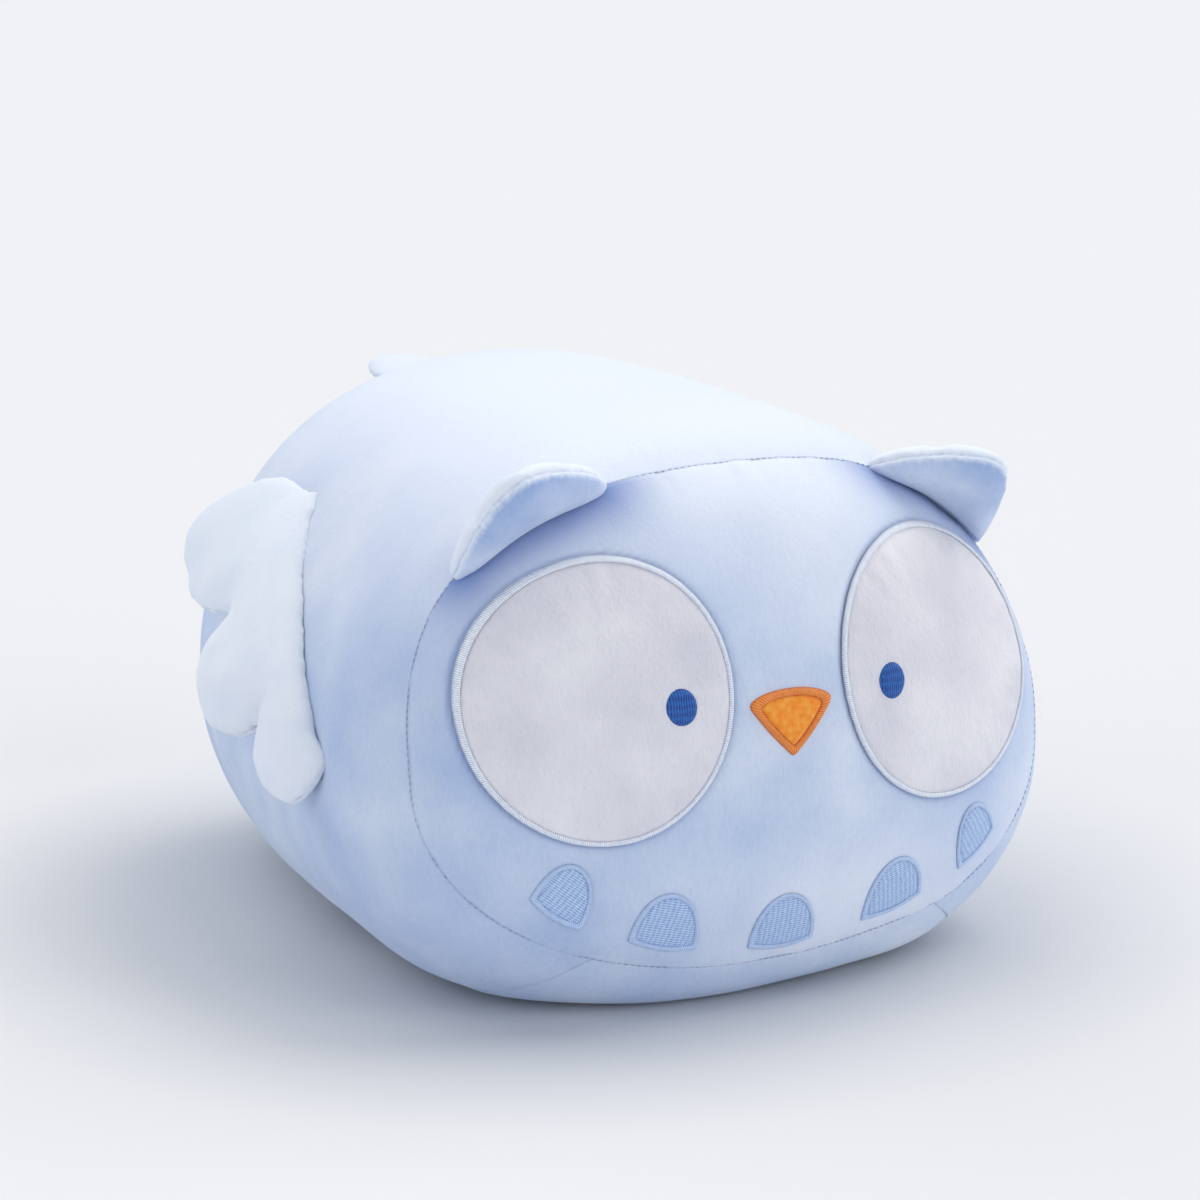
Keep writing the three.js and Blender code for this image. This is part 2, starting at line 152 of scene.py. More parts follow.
class Dye:
    """A socket in a finish's nodes. Sums on it add Math nodes."""

    def __init__(self, tree, socket):
        self.tree, self.socket = tree, socket

    def node(self, kind, sockets, out=0, **settings):
        """A node's output. Its settings are set first, then its sockets by value or link."""
        made = self.tree.nodes.new("ShaderNode" + kind)
        for key, value in settings.items():
            setattr(made, key, value)
        for key, value in sockets.items():
            if isinstance(value, Dye):
                self.tree.links.new(value.socket, made.inputs[key])
            else:
                made.inputs[key].default_value = value
        return Dye(self.tree, made.outputs[out])

    def sum(self, operation, *values, clamp=False):
        return self.node("Math", dict(enumerate(values)), operation=operation, use_clamp=clamp)

    def __add__(self, other):
        return self.sum("ADD", self, other)

    def __sub__(self, other):
        return self.sum("SUBTRACT", self, other)

    def __rsub__(self, other):
        return self.sum("SUBTRACT", other, self)

    def __mul__(self, other):
        return self.sum("MULTIPLY", self, other)

    __radd__, __rmul__ = __add__, __mul__

    def limited(self, shift):
        """This plus a shift, held between 0 and 1."""
        return self.sum("ADD", self, shift, clamp=True)

    def blend(self, first, second):
        """The first colour where this is 0, the second where it is 1."""
        return self.node("Mix", {0: self, 6: first, 7: second}, out=2, data_type="RGBA")

    def feeds(self, name):
        self.tree.links.new(self.socket, self.tree.nodes["Principled BSDF"].inputs[name])


def finish(name, constants):
    """A new material with its fixed shader values, and the place on the piece as a Dye."""
    material = bpy.data.materials.new(name)
    material.use_nodes = True
    tree = material.node_tree
    for key, value in constants.items():
        tree.nodes["Principled BSDF"].inputs[key].default_value = value
    place = tree.nodes.new("ShaderNodeTexCoord")
    return material, Dye(tree, place.outputs["Object"])


def fibre_finish():
    material, place = finish("filling fibre", {"Roughness": 1.0, "Specular IOR Level": 0.1})
    strands = place.node("TexNoise", {
        "Vector": place, "Scale": 160.0, "Detail": 6.0, "Roughness": 0.7})
    strands.blend(dyed(214, 214, 210), dyed(250, 250, 248)).feeds("Base Color")
    place.node("Bump", {"Height": strands, "Distance": 0.004, "Strength": 0.6}).feeds("Normal")
    return material


filling = bmesh.new()
bmesh.ops.create_uvsphere(filling, u_segments=72, v_segments=48, radius=1)
for vert in filling.verts:
    side = vert.co.y
    around = math.atan2(vert.co.z, vert.co.x)
    size = math.hypot(vert.co.x, vert.co.z)
    vert.co = bare_body(around, station_of(size, -1 if side < 0 else 1), filling_inset)
body_filling = finished("body_filling", filling, fibre_finish(), subdivisions=0)
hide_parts("body_stuffing")
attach(body_filling, "body")


# Skin of the body: four panels of short-pile plush, sewn right sides together and turned. The
# face panel is a rounded oval, the wrap-round panel covers the back and both sides, the base
# panel lies underneath, and the rump panel closes the far end. Each edge is pulled in.

seam_half_width = 0.1385
seam_top, seam_bottom, seam_level, seam_round = 0.1092, 0.0801, 0.0983, 2.29
rump_station = 0.8
base_corner = math.radians(-47)
plush_thickness = 0.002
seam_tuck = 0.00004
eye_edge_press = 0.0007
ear_shade_reach = 0.0195
eye_centre = Vector((0.0725, 0.1282))
eye_half_width, eye_half_height = 0.04917, 0.05353
eye_tilt = math.radians(30.6)
eye_egg = -0.069
ear_feet = {"left": (65.2, 36.6), "right": (69.8, 41.0)}
wing_angles = (math.radians(5), math.radians(42.4))
wing_ends = (-0.312 * nose_reach, 0.281 * rump_reach)


@lru_cache(maxsize=None)
def seam_station(angle):
    """The station where a section angle meets the face seam."""
    front, back = -1.0, 0.0
    for _ in range(26):
        middle = (front + back) / 2
        point = bare_body(angle, middle)
        reach = seam_bottom if point.z < seam_level else seam_top
        across = abs(point.x / seam_half_width) ** seam_round
        upward = abs((point.z - seam_level) / reach) ** seam_round
        if across + upward < 1:
            front = middle
        else:
            back = middle
    return (front + back) / 2


def drawn_in(distance, along, depth=1.0):
    """How deep the sewing pulls the skin in beside a seam, with small puckers along it."""
    pucker = 1 + 0.8 * noise.noise(along * 70) + 0.5 * noise.noise(along * 210)
    close = 0.00015 * math.exp(-distance / 0.0010)
    wide = 0.0007 * math.exp(-((distance / 0.007) ** 2))
    return (close + wide * pucker) * depth


def wing_slit(share):
    """A point of the slit in the side panel that a wing is caught in, from its low end."""
    y = wing_ends[0] + (wing_ends[1] - wing_ends[0]) * share
    angle = wing_angles[0] + (wing_angles[1] - wing_angles[0]) * share
    return bare_body(angle, y / (nose_reach if y < 0 else rump_reach))


slit_points = [wing_slit(i / 40) for i in range(41)]


def slit_distance(point):
    """The least distance from a point of the skin to the slit on its side."""
    here = Vector((abs(point.x), point.y, point.z))
    return min((here - place).length for place in slit_points)


def eye_distance(point):
    """About how far a point of the face lies outside the border of the eye on its side."""
    x, z = abs(point.x) - eye_centre.x, point.z - eye_centre.y
    across = x * math.cos(eye_tilt) + z * math.sin(eye_tilt)
    upward = z * math.cos(eye_tilt) - x * math.sin(eye_tilt)
    upward /= eye_half_height
    across /= eye_half_width * (1 + eye_egg * max(-1.0, min(1.0, upward)))
    return (math.hypot(across, upward) - 1) * eye_half_width


def crowded(share, pull=0.1):
    """Spaces the rows of a panel closer towards its two seams."""
    return share - pull * math.sin(2 * math.pi * share)


def round_cut(steps, place):
    """A square of cloth, drawn out to a disc and laid by place(turn, size)."""
    cloth = bmesh.new()
    bmesh.ops.create_grid(cloth, x_segments=steps, y_segments=steps, size=1)
    for vert in cloth.verts:
        p, q = vert.co.x, vert.co.y
        x, y = p * math.sqrt(1 - q * q / 2), q * math.sqrt(1 - p * p / 2)
        vert.co = place(math.atan2(y, x), min(1.0, math.hypot(x, y)))
    return cloth


def strip_cut(columns, rows, place):
    """A rectangle of cloth, laid by place(share across, share along)."""
    cloth = bmesh.new()
    bmesh.ops.create_grid(cloth, x_segments=columns, y_segments=rows, size=1)
    for vert in cloth.verts:
        vert.co = place((vert.co.x + 1) / 2, (vert.co.y + 1) / 2)
    return cloth


def face_cloth(turn, size):
    seam = seam_station(turn)
    station = station_of(swell(seam) * size, -1)
    inset = drawn_in((1 - size) * 0.11, bare_body(turn, seam))
    if size > 0.9999:
        inset += seam_tuck
    inset += eye_edge_press * math.exp(-((eye_distance(bare_body(turn, station)) / 0.0022) ** 2))
    return body_point(turn, station, inset)


def rump_cloth(turn, size):
    station = station_of(swell(rump_station) * size, 1)
    inset = drawn_in((1 - size) * 0.12, bare_body(turn, rump_station))
    if size > 0.9999:
        inset += seam_tuck
    return body_point(turn, station, inset)


def wrap_cloth(first, last):
    """Lays a panel between two section angles, from the face seam to the rump seam."""

    def place(across, along):
        turn = first + (last - first) * crowded(across, 0.06)
        seam = seam_station(turn)
        station = seam + (rump_station - seam) * crowded(along)
        reach = nose_reach if station < 0 else rump_reach
        front = (station - seam) * (nose_reach if seam < 0 else reach)
        back = (rump_station - station) * rump_reach
        side = min(turn - first, last - turn) * 0.12
        inset = drawn_in(front, bare_body(turn, seam))
        inset += drawn_in(back, bare_body(turn, rump_station))
        inset += drawn_in(side, bare_body(first, station), 0.45)
        point = bare_body(turn, station)
        if abs(point.y) < 0.11 and 0.06 < point.z < 0.2:
            inset += drawn_in(slit_distance(point), point, 0.9)
        if min(across, along) < 1e-4 or max(across, along) > 1 - 1e-4:
            inset += seam_tuck
        return body_point(turn, station, inset)

    return place


def brushed_pile(place, nap, mottle):
    """The shade of the pile from 0 to 1, in soft patches, tufts and flecks, and its relief."""

    def grain(where, scale, detail, roughness):
        return place.node("TexNoise", {
            "Vector": where, "Scale": scale, "Detail": detail, "Roughness": roughness})

    brushed = grain(place, nap, 2.0, 0.5)
    tufts = grain(place, 280.0, 3.0, 0.6)
    lie = place.node("Mapping", {
        "Vector": place, "Rotation": (0.4, 0.7, 0.0), "Scale": (1.0, 1.0, 0.4)})
    flecks = grain(lie, 800.0, 2.0, 0.6)
    tone = (brushed - 0.5) * (mottle * 4.4) + (tufts - 0.5) * (mottle * 0.5)
    tone = tone + (flecks - 0.5) * (mottle * 0.7)
    return tone.limited(0.5), flecks * 0.7 + tufts * 0.6


def plush_finish(name, light, deep, nap=17.0, mottle=0.5, sheen=0.35, relief_depth=0.0006,
                 painted_top_shading=None, chin=None, pressed_and_painted_shade=None):
    """Short-pile plush with a pale sheen. Further colours take over: a painted highlight towards
    the top, a lighter colour low on the left, and a painted shade round the eye borders and
    under the ears."""
    material, place = finish(name, {
        "Roughness": 0.92, "Specular IOR Level": 0.2, "Sheen Weight": sheen,
        "Sheen Roughness": 0.45, "Sheen Tint": (0.93, 0.95, 1.0, 1.0)})
    cloth, relief = brushed_pile(place, nap, mottle)
    cloth = cloth.blend(deep, light)
    if painted_top_shading:
        # Painted highlight: towards the top of the toy the colour turns paler.
        level = place.node("SeparateXYZ", {0: place}, out=2)
        cloth = (level * 12).limited(-1.6).blend(cloth, painted_top_shading)
    if chin:
        low = (1.05 - place.node("SeparateXYZ", {0: place}, out=2) * 12).limited(0.0)
        leftward = (place.node("SeparateXYZ", {0: place}, out=0) * 8).limited(0.5)
        cloth = (low * leftward * 0.9).blend(cloth, chin)
    # Painted shade, read from the face panel: a ring round the eye borders and a patch under the
    # ears.
    if pressed_and_painted_shade:
        cloth = place.node("Attribute", {}, out=2, attribute_name="pressed_and_painted_shade").blend(cloth, pressed_and_painted_shade)
    cloth.feeds("Base Color")
    bump = place.node("Bump", {"Height": relief, "Distance": relief_depth, "Strength": 0.6})
    bump.feeds("Normal")
    return material


body_plush_finish = plush_finish("pale blue plush", dyed(223, 228, 237), dyed(178, 194, 223),
                                 painted_top_shading=dyed(236, 238, 246))
face_plush_finish = plush_finish("face blue plush", dyed(227, 231, 238), dyed(179, 195, 223),
                                 painted_top_shading=dyed(240, 242, 247), chin=dyed(240, 240, 246),
                                 pressed_and_painted_shade=dyed(88, 122, 188))

turned_base = math.pi - base_corner
panels = {
    "face_plush": (round_cut(190, face_cloth), face_plush_finish, "face_panel", "faceBlue"),
    "side_plush": (strip_cut(270, 110, wrap_cloth(base_corner, turned_base)), body_plush_finish,
                   "body_panel", "paleBlue"),
    "base_plush": (strip_cut(90, 110, wrap_cloth(turned_base, 2 * math.pi + base_corner)),
                   body_plush_finish, "base_panel", "paleBlue"),
    "rump_plush": (round_cut(110, rump_cloth), body_plush_finish, "rear_panel", "paleBlue"),
}
for name, (cloth, material, node, slot) in panels.items():
    panel = finished(name, cloth, material, subdivisions=0, thickness=plush_thickness)
    if name == "face_plush":
        # Painted shade on the face panel: a narrow ring just outside each eye border, and a wide
        # patch under each ear.
        pressed_and_painted_shade = panel.data.attributes.new("pressed_and_painted_shade", "FLOAT", "POINT")
        feet = [(math.radians(first), math.radians(last)) for first, last in ear_feet.values()]
        turns = [[first + (last - first) * i / 12 for i in range(1, 12)] for first, last in feet]
        under_ears = [[bare_body(turn, seam_station(turn)) for turn in row] for row in turns]
        for vert, mark in zip(panel.data.vertices, pressed_and_painted_shade.data):
            row = under_ears[0 if vert.co.x > 0 else 1]
            here = Vector((abs(vert.co.x), vert.co.y, vert.co.z))
            near_ear = min((here - place).length for place in row)
            mark.value = 0.45 * math.exp(-((eye_distance(vert.co) / 0.0011) ** 2))
            mark.value = max(mark.value, 0.85 * math.exp(-((near_ear / ear_shade_reach) ** 2)))
    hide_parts(node)
    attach(panel, "body")


# Seam thread: polyester sewing thread in short lockstitches, sunk in the crease of the face
# seam and of the rump seam.

stitch_pitch = 0.0027
stitch_length = 0.0019
stitch_radius = 0.00022
thread_depth = 0.0008


def stitched_line(name, places):
    """Short stitches at even steps along a line of points."""
    thread = bmesh.new()
    walked = 0.0
    for start, end in zip(places, places[1:]):
        step = end - start
        while walked < step.length:
            direction = step.normalized()
            turned = direction.to_track_quat("X", "Z").to_matrix().to_4x4()
            matrix = Matrix.Translation(start + direction * walked) @ turned
            matrix = matrix @ Matrix.Diagonal((stitch_length / stitch_radius / 2, 1, 1, 1))
            bmesh.ops.create_icosphere(thread, subdivisions=1, radius=stitch_radius, matrix=matrix)
            walked += stitch_pitch
        walked -= step.length
    return finished(name, thread, seam_thread_finish, subdivisions=0)


def seam_thread():
    material, place = finish("seam thread", {"Roughness": 0.6})
    fibres = place.node("TexNoise", {"Vector": place, "Scale": 2500.0})
    fibres.blend(dyed(132, 150, 192), dyed(176, 192, 224)).feeds("Base Color")
    return material


seam_thread_finish = seam_thread()
around = [2 * math.pi * i / 600 for i in range(601)]
seam_line = [body_point(turn, seam_station(turn), thread_depth) for turn in around]
face_seam = stitched_line("face_seam_thread", seam_line)
rump_line = [body_point(turn, rump_station, thread_depth) for turn in around]
rump_seam = stitched_line("rump_seam_thread", rump_line)
for thread in (face_seam, rump_seam):
    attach(thread, "body")


# Eye patches: rounds of white plush, laid on the face and held all round by a raised border
# of white satin stitches over a cord.

eye_border_width = 0.0023
eye_patch_raised = 0.0014
eye_fold_depth = 0.0011


def face_point(x, z, raised=0.0):
    """The face surface over a place seen from the front, raised over the plush."""

    def bare(lift):
        level = z + rest_cut - waist_level
        y = -nose_reach
        upper = level > 0
        power = crown_round if upper else keel_round
        for _ in range(14):
            width = half_width + lift - flare * y
            height = (crown_height + rise * y if upper else keel_depth) + lift
            size = (abs(x / width) ** power + abs(level / height) ** power) ** (1 / power)
            y = (nose_reach + lift) * station_of(size, -1)
        return Vector((x, y + waist_y, z))

    point = bare(0.0)
    return bare(raised + fullness(point))


def eye_place(turn, size=1.0, side=1):
    across = math.cos(turn) * eye_half_width * (1 + eye_egg * math.sin(turn)) * size
    upward = math.sin(turn) * eye_half_height * size
    x = eye_centre.x + across * math.cos(eye_tilt) - upward * math.sin(eye_tilt)
    z = eye_centre.y + across * math.sin(eye_tilt) + upward * math.cos(eye_tilt)
    return x * side, z


def satin_band(name, outline, inner_size, low, high, steps, material):
    """A closed band of satin stitches: high in the middle, and sewn down at both edges."""
    cloth = bmesh.new()
    bmesh.ops.create_grid(cloth, x_segments=steps, y_segments=10, size=1)
    lay = cloth.loops.layers.uv.new("stitches")
    for face in cloth.faces:
        for loop in face.loops:
            loop[lay].uv = ((loop.vert.co.x + 1) / 2, (loop.vert.co.y + 1) / 2)
    for vert in cloth.verts:
        turn, across = math.pi * (vert.co.x + 1), (vert.co.y + 1) / 2
        size = inner_size + (1 - inner_size) * across
        wobble = 1 + 0.004 * noise.noise(Vector((math.cos(turn), math.sin(turn), inner_size)) * 16)
        edge = math.sin(math.pi * across) ** 0.6
        x, z = outline(turn, size if across not in (0.0, 1.0) else size * wobble)
        vert.co = face_point(x, z, low + (high - low) * edge)
    bmesh.ops.remove_doubles(cloth, verts=cloth.verts, dist=1e-6)
    return finished(name, cloth, material, subdivisions=1)


def satin_finish(name, light, deep, threads):
    """Satin stitches: even threads side by side across the band, with a soft gloss."""
    material, place = finish(name, {
        "Roughness": 0.5, "Sheen Weight": 0.15, "Specular IOR Level": 0.4})
    lie = place.node("TexCoord", {}, out="UV")
    run = place.node("SeparateXYZ", {0: lie}, out=0)
    across = place.node("SeparateXYZ", {0: lie}, out=1)
    # Painted shade along both edges of the band, deeper along the inner edge.
    edge = (1 - across * 5).limited(0.0) * 1.1 + (across * 6 - 5).limited(0.0) * 0.5
    turns = run * (threads * 2 * math.pi) + across * 2.5
    rope = turns.sum("SINE", turns) * 0.5 + 0.5
    stray = place.node("TexNoise", {"Vector": place, "Scale": 700.0, "Detail": 3.0})
    (rope * 0.7 + stray * 0.8 - edge).limited(0.0).blend(deep, light).feeds("Base Color")
    relief = rope * 0.7 + stray * 0.5
    place.node("Bump", {"Height": relief, "Distance": 0.0005, "Strength": 0.5}).feeds("Normal")
    return material


eye_plush_finish = plush_finish("eye plush", dyed(246, 240, 238), dyed(221, 215, 219),
                                nap=30.0, mottle=0.35, sheen=0.25, relief_depth=0.0013)
white_satin_finish = satin_finish("white satin stitch", dyed(255, 255, 255), dyed(172, 178, 200),
                                  threads=400)
inner_eye = 1 - eye_border_width / eye_half_width

for side_name, side in (("left", 1), ("right", -1)):

    def eye_cloth(turn, size):
        edge = (1 - size) * eye_half_width
        x, z = eye_place(turn, size * (inner_eye + 0.012), side)
        folds = noise.noise(Vector((math.cos(turn) * 7, math.sin(turn) * 7, edge * 40 + side)))
        folds *= eye_fold_depth * math.exp(-((edge / 0.013) ** 2)) * (1 - math.exp(-edge / 0.0016))
        tuck = 0.0011 * math.exp(-edge / 0.0011)
        return face_point(x, z, eye_patch_raised + folds - tuck)

    patch = finished(f"eye_white_{side_name}", round_cut(72, eye_cloth), eye_plush_finish)
    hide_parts(f"eye_patch_{side_name}")
    border = satin_band(f"eye_border_stitch_{side_name}",
                        lambda turn, size: eye_place(turn, size, side),
                        inner_eye, low=0.0001, high=0.0015, steps=360,
                        material=white_satin_finish)
    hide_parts(f"eye_border_{side_name}")
    for piece, slot in ((patch, "white"), (border, "threadWhite")):
        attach(piece, "body")


# Pupils: solid royal-blue fill stitching, sewn through the eye patch in upright rows of short
# stitches.

pupil_centre = Vector((0.0453, 0.1252))
pupil_half_width, pupil_half_height = 0.0061, 0.0069


def fill_finish(name, light, deep, row, length, turned):
    """Fill stitching: rows of short stitches, their ends sunk in loose lines across the rows."""
    material, place = finish(name, {
        "Roughness": 0.55, "Sheen Weight": 0.1, "Specular IOR Level": 0.4})
    loose = place.node("TexNoise", {"Vector": place, "Scale": 260.0, "Detail": 2.0})
    flat = place.node("Mapping", {"Vector": place, "Rotation": (math.pi / 2, 0.0, turned)})
    along = place.node("SeparateXYZ", {0: flat}, out=0) * (2 * math.pi / length) + loose * 4
    down = place.node("SeparateXYZ", {0: flat}, out=1) * (2 * math.pi / row) + loose * 3
    ends = along.sum("SINE", along) * 0.5 + 0.5
    rows = down.sum("SINE", down) * 0.5 + 0.5
    stray = place.node("TexNoise", {"Vector": place, "Scale": 1100.0, "Detail": 2.0})
    level = 1 - rows * (ends * 0.6 + 0.4)
    (level * 1.1 + stray * 0.8 - 0.6).limited(0.0).blend(deep, light).feeds("Base Color")
    place.node("Bump", {"Height": level, "Distance": 0.0005, "Strength": 0.6}).feeds("Normal")
    return material


pupil_finish = fill_finish("royal blue fill stitch", dyed(44, 110, 190), dyed(12, 52, 124),
                           row=0.0010, length=0.0030, turned=math.pi / 2)

for side_name, side in (("left", 1), ("right", -1)):

    def pupil_cloth(turn, size):
        ragged = 1 + 0.02 * noise.noise(Vector((math.cos(turn), math.sin(turn), side)) * 7)
        x = pupil_centre.x + pupil_half_width * math.cos(turn) * size * ragged
        z = pupil_centre.y + pupil_half_height * math.sin(turn) * size * ragged
        return face_point(x * side, z, eye_patch_raised + 0.0015 * (1 - size ** 6))

    pupil = finished(f"pupil_stitch_{side_name}", round_cut(24, pupil_cloth), pupil_finish)
    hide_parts(f"pupil_{side_name}")
    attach(pupil, "body")


# Beak: a small fan of orange plush, point down, held by a darker orange satin border.

beak_half_width, beak_height, beak_tip = 0.0177, 0.0263, 0.1015
beak_corner = 0.77
beak_bow = 0.05
beak_softness = 0.045
beak_border_width = 0.0031
beak_slant = beak_half_width / math.hypot(beak_half_width, beak_height * beak_corner)
beak_radius = beak_height * beak_slant / (1 + beak_slant)
beak_middle = beak_tip + beak_height - beak_radius


def beak_edge():
    """The outline of the beak, seen from the front, from the tip round by its left side."""
    corner = beak_tip + beak_height * beak_corner
    soft = beak_softness

    def left(t):
        share = soft + (1 - 2 * soft) * t
        return Vector((beak_half_width * (share + beak_bow * math.sin(math.pi * t)),
                       beak_tip + (corner - beak_tip) * share))

    side = [left(i / 12) for i in range(13)]
    top = [Vector((beak_half_width * math.cos(math.pi * t),
                   corner + (beak_tip + beak_height - corner) * math.sin(math.pi * t)))
           for t in [soft + (1 - 2 * soft) * i / 16 for i in range(17)]]
    right = [Vector((-p.x, p.y)) for p in reversed(side)]
    return [Vector((0, beak_tip + 0.0007)), *side, *top, *right]


def along_outline(points, centre, turn, size):
    """A place on a closed outline by its direction from the centre, drawn in by a size."""
    direction = Vector((math.cos(turn), math.sin(turn)))
    reach = 0.0
    for start, end in zip(points, points[1:] + points[:1]):
        edge, start = end - start, start - centre
        cross = direction.x * edge.y - direction.y * edge.x
        if abs(cross) < 1e-12:
            continue
        out = (start.x * edge.y - start.y * edge.x) / cross
        share = (start.x * direction.y - start.y * direction.x) / cross
        if out > 0 and -1e-6 <= share <= 1 + 1e-6:
            reach = max(reach, out)
    place = centre + direction * reach * size
    return place.x, place.y


beak_points = beak_edge()
beak_centre = Vector((0, beak_middle))
inner_beak = 1 - beak_border_width / beak_radius


def beak_cloth(turn, size):
    x, z = along_outline(beak_points, beak_centre, turn, size * (inner_beak + 0.03))
    return face_point(x, z, 0.0005 + 0.0012 * (1 - size ** 10))


orange_plush_finish = plush_finish("orange plush", dyed(255, 174, 72), dyed(250, 134, 40),
                                   nap=380.0, mottle=0.5, sheen=0.3)
orange_satin_finish = satin_finish("orange satin stitch", dyed(255, 154, 64), dyed(196, 74, 14),
                                   threads=100)
beak_patch = finished("beak_plush", round_cut(28, beak_cloth), orange_plush_finish)
beak_border = satin_band("beak_border_stitch",
                         lambda turn, size: along_outline(beak_points, beak_centre, turn, size),
                         inner_beak, low=0.0001, high=0.0016, steps=160,
                         material=orange_satin_finish)
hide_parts("beak_patch")
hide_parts("beak_border")
for piece, slot in ((beak_patch, "orange"), (beak_border, "darkOrange")):
    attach(piece, "body")


# Feather marks: five small arches in blue fill stitching, each edged with a narrow satin
# border in a lighter thread.

feather_half_width, feather_height = 0.0146, 0.022
feather_border_width = 0.0021
feather_places = [
    {"x": 0.0928, "z": 0.0487, "width": 0.82, "height": 0.92, "tilt": 36.0, "skew": 0.0050},
    {"x": 0.0507, "z": 0.0320, "width": 1.0, "height": 1.0, "tilt": 13.5, "skew": 0.0032},
    {"x": 0.0, "z": 0.0255, "width": 1.0, "height": 1.0, "tilt": 0.0, "skew": 0.0},
]


def feather_edge(mark, side):
    width, height = feather_half_width * mark["width"], feather_height * mark["height"]
    arch = [Vector((width * math.cos(math.pi * i / 20), height * math.sin(math.pi * i / 20) ** 0.9))
            for i in range(21)]
    base = [Vector((width * (2 * i / 8 - 1), -0.1 * height * math.sin(math.pi * i / 8)))
            for i in range(1, 8)]
    spin = Matrix.Rotation(math.radians(mark["tilt"]), 2)
    middle = Vector((mark["x"], mark["z"]))
    centre = spin @ Vector((mark["skew"] / 2, height / 2)) + middle
    points = [spin @ Vector((p.x + mark["skew"] * max(0.0, p.y) / height, p.y)) + middle
              for p in arch + base]
    if side < 0:
        points = [Vector((-p.x, p.y)) for p in reversed(points)]
        centre = Vector((-centre.x, centre.y))
    return points, centre, height / 2


feather_satin_finish = satin_finish("blue satin stitch", dyed(212, 226, 248), dyed(140, 168, 214),
                                    threads=130)
marks = [(mark, -1) for mark in feather_places[:2]] + [(mark, 1) for mark in feather_places[::-1]]
for number, (mark, side) in enumerate(marks, 1):
    points, centre, radius = feather_edge(mark, side)
    inner = 1 - feather_border_width / radius

    def mark_cloth(turn, size):
        x, z = along_outline(points, centre, turn, size * (inner + 0.03))
        return face_point(x, z, 0.0003 + 0.0007 * (1 - size ** 14))

    blue_fill = fill_finish(f"blue fill stitch {number}", dyed(214, 230, 250), dyed(134, 165, 214),
                            row=0.00095, length=0.0021,
                            turned=math.radians(mark["tilt"]) * side)
    middle = finished(f"feather_fill_{number}", round_cut(22, mark_cloth), blue_fill)
    edge = satin_band(f"feather_border_stitch_{number}",
                      lambda turn, size: along_outline(points, centre, turn, size),
                      inner, low=0.0001, high=0.0011, steps=120,
                      material=feather_satin_finish)
    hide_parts(f"feather_mark_{number}")
    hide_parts(f"feather_border_{number}")
    for piece in (middle, edge):
        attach(piece, "body")


# Wings: two layers of white plush, sewn round a three-lobed edge, turned, lightly filled and
# caught in a slanted slit in each side.

wing_reach = 0.081
wing_lift = math.radians(16)
wing_edge = [
    (1.0, 0.03), (1.07, 0.10), (1.13, 0.18), (1.175, 0.29), (1.21, 0.43), (1.235, 0.60),
    (1.24, 0.75), (1.22, 0.88), (1.175, 0.95), (1.10, 0.97), (1.01, 0.945), (0.92, 0.905),
    (0.845, 0.83), (0.765, 0.70), (0.70, 0.555), (0.68, 0.64), (0.65, 0.72), (0.60, 0.77),
    (0.54, 0.785), (0.475, 0.775), (0.41, 0.745), (0.345, 0.69), (0.29, 0.61), (0.25, 0.50),
    (0.238, 0.385), (0.205, 0.415), (0.155, 0.43), (0.10, 0.42), (0.045, 0.385), (-0.01, 0.32),
    (-0.045, 0.24), (-0.045, 0.15), (-0.025, 0.05),
]
wing_creases = [[(0.70, 0.555), (0.685, 0.46)], [(0.238, 0.385), (0.27, 0.31), (0.283, 0.19)]]


def smooth_line(points, steps):
    """A curve through the points, with rounded turns between them."""
    places = []
    padded = [2 * points[0] - points[1], *points, 2 * points[-1] - points[-2]]
    for a, b, c, d in zip(padded, padded[1:], padded[2:], padded[3:]):
        for i in range(steps):
            t = i / steps
            places.append(0.5 * (2 * b + (c - a) * t + (2 * a - 5 * b + 4 * c - d) * t ** 2
                                 + (3 * b - a - 3 * c + d) * t ** 3))
    return places + [points[-1]]


def line_distance(place, line):
    """The least distance from a place on the flat pattern to a line of points, and how far
    along the line it lies."""
    least, share_there = 1.0, 0.0
    for i, (start, end) in enumerate(zip(line, line[1:])):
        edge = end - start
        share = max(0.0, min(1.0, (place - start).dot(edge) / max(edge.length_squared, 1e-12)))
        distance = (place - start - edge * share).length
        if distance < least:
            least, share_there = distance, (i + share) / (len(line) - 1)
    return least, share_there


